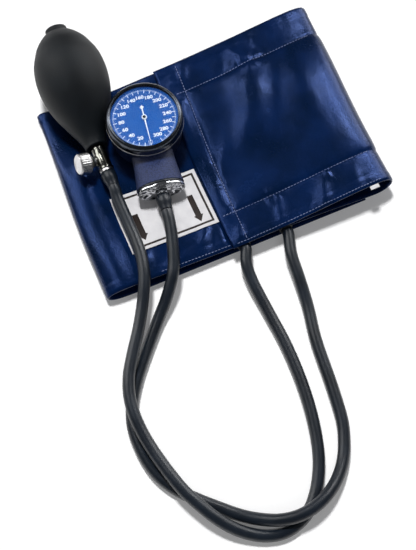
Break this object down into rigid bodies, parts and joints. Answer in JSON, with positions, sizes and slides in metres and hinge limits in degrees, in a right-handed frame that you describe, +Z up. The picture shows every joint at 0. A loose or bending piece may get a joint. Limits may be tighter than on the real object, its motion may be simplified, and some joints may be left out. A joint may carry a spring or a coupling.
{
  "type": "sphygmomanometer",
  "caption": "Blood pressure set: folded nylon cuff, hand bulb with release valve and round dial gauge joined to the cuff by rubber hoses.",
  "frame": {"origin": "on the table, under the centre of the set without its two hoses", "axes": "+Z up from the table, -Y towards the loop of the hoses, +X towards the fold of the cuff farthest from the bulb"},
  "size_m": [0.259, 0.3971, 0.0572],
  "materials": {
    "navy_nylon": "woven nylon",
    "navy_pile": "hook and loop tape",
    "bladder_rubber": "matte moulded rubber",
    "hose_rubber": "satin extruded rubber",
    "bulb_rubber": "satin moulded rubber",
    "printed_label": "printed white cloth",
    "chrome": "polished plate",
    "satin_chrome": "satin plate",
    "dark_chrome": "dark polished plate",
    "navy_enamel": "satin enamel",
    "crinkle_enamel": "crinkle enamel",
    "blue_dial": "printed satin enamel",
    "white_enamel": "satin enamel",
    "brass": "machined",
    "steel": "ground",
    "clear_glass": "polished"
  },
  "bodies": {
    "cuff_set": {"cuff_outer_cloth": "navy_nylon", "cuff_inner_cloth": "navy_nylon", "bladder": "bladder_rubber", "loop_tape": "navy_pile", "hook_tape": "navy_pile", "artery_label": "printed_label", "size_tag": "printed_label", "head_case": "navy_enamel", "bezel": "dark_chrome", "crystal": "clear_glass", "crystal_gasket": "hose_rubber", "dial_plate": "blue_dial", "movement_plate": "brass", "movement_pillar_1": "brass", "movement_pillar_2": "brass", "movement_pillar_3": "brass", "movement_bridge": "brass", "hairspring": "steel", "diaphragm_capsule": "brass", "pressure_block": "brass", "neck_bell": "crinkle_enamel", "neck_seal": "hose_rubber", "base_cap": "chrome", "stem_tube": "brass", "hose_barb": "chrome", "gauge_hose_sleeve": "hose_rubber", "back_clip": "steel", "clip_rivet_1": "steel", "clip_rivet_2": "steel", "bulb": "bulb_rubber", "inlet_valve_body": "chrome", "inlet_screen": "steel", "valve_body": "chrome", "valve_barb": "satin_chrome", "outlet_spring": "steel", "bulb_hose_sleeve": "hose_rubber", "hose_bulb": "hose_rubber", "hose_gauge": "hose_rubber"},
    "pointer": {"pointer": "white_enamel", "pointer_arbor": "steel"},
    "sector": {"sector_gear": "brass"},
    "rocker": {"rocker_shaft": "steel"},
    "push_rod": {"push_rod": "steel"},
    "inlet_ball": {"inlet_ball": "steel"},
    "outlet_ball": {"outlet_ball": "steel"},
    "release_screw": {"release_washer": "steel"},
    "release_knob": {"release_knob": "satin_chrome"}
  },
  "joints": [
    {"name": "sector_turn", "type": "hinge", "parent": "cuff_set", "child": "sector", "pos_m": [-0.05949, -0.00272, 0.037], "axis": [0, 0, 1], "range_deg": [0, 28.2]},
    {"name": "pointer_turn", "type": "hinge", "parent": "cuff_set", "child": "pointer", "pos_m": [-0.04701, 0.00663, 0.042], "axis": [0, 0, -1], "range_deg": [0, 338.4]},
    {"name": "rocker_tilt", "type": "hinge", "parent": "cuff_set", "child": "rocker", "pos_m": [-0.04553, 0.00082, 0.0316], "axis": [0.9694, 0.2453, 0], "range_deg": [0, 14.33]},
    {"name": "push_rod_lift", "type": "slide", "parent": "cuff_set", "child": "push_rod", "axis": [0, 0, 1], "range_m": [0, 0.0015], "deforming": ["diaphragm_capsule"]},
    {"name": "inlet_ball_shift", "type": "slide", "parent": "cuff_set", "child": "inlet_ball", "axis": [0.3261, -0.927, -0.1855], "range_m": [-0.0006, 0]},
    {"name": "outlet_ball_shift", "type": "slide", "parent": "cuff_set", "child": "outlet_ball", "axis": [0.3907, -0.9205, 0], "range_m": [0, 0.0008]},
    {"name": "release_travel", "type": "slide", "parent": "cuff_set", "child": "release_screw", "axis": [-0.865, -0.3672, 0.342], "range_m": [0, 0.00106]},
    {"name": "release_turn", "type": "hinge", "parent": "release_screw", "child": "release_knob", "pos_m": [-0.08778, -0.02124, 0.0265], "axis": [-0.865, -0.3672, 0.342], "range_deg": [0, 540]}
  ],
  "couplings": [
    {"joint": "pointer_turn", "follows": "sector_turn", "ratio": 12},
    {"joint": "rocker_tilt", "follows": "sector_turn", "ratio": 0.508},
    {"joint": "push_rod_lift", "follows": "sector_turn", "m_per_rad": 0.003047},
    {"joint": "release_travel", "follows": "release_turn", "m_per_rad": 0.0001114}
  ]
}
